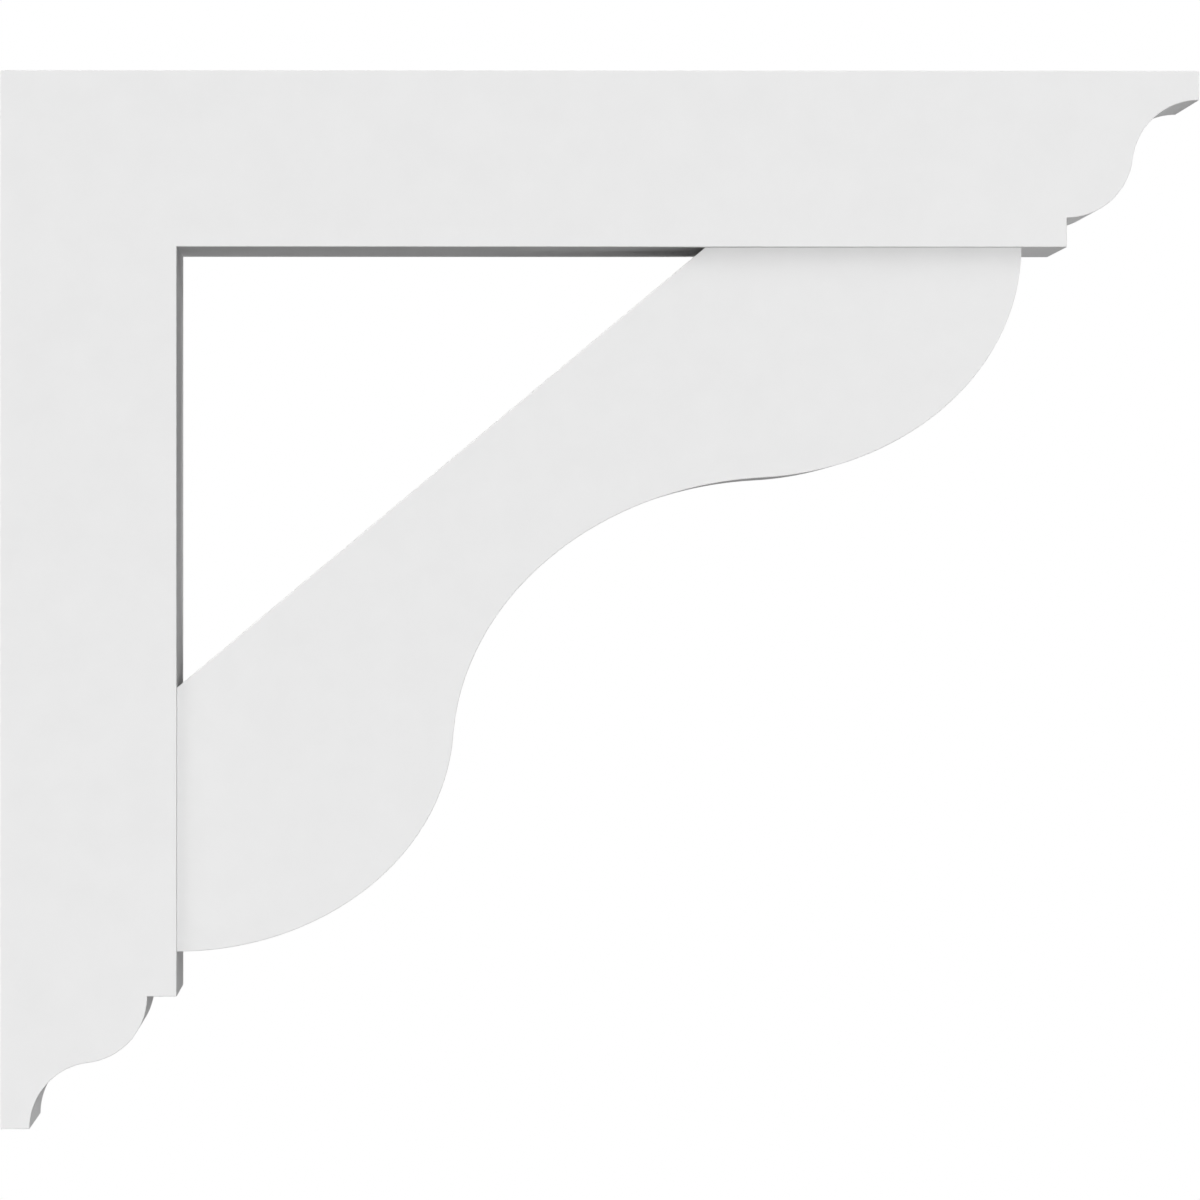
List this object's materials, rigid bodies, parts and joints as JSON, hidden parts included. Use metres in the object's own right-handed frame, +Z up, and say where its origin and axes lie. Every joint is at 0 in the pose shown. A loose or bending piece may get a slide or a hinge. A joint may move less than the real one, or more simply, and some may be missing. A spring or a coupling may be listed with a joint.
{
  "type": "architectural bracket",
  "caption": "Right-angled porch bracket: a level arm and an upright leg, both ending in an ogee, with a curved brace of rounded lobes between them.",
  "frame": {"origin": "the top rear edge, midway across the bracket, where the wall meets the soffit", "axes": "+X out from the wall along the arm, +Z up along the leg, Y across the bracket"},
  "size_m": [0.8636, 0.127, 0.762],
  "materials": {
    "white_pvc": "smooth matte white cellular PVC, edges lightly sanded"
  },
  "bodies": {
    "root": {"horizontal_arm": "white_pvc", "vertical_leg": "white_pvc", "curved_brace": "white_pvc"}
  },
  "joints": []
}
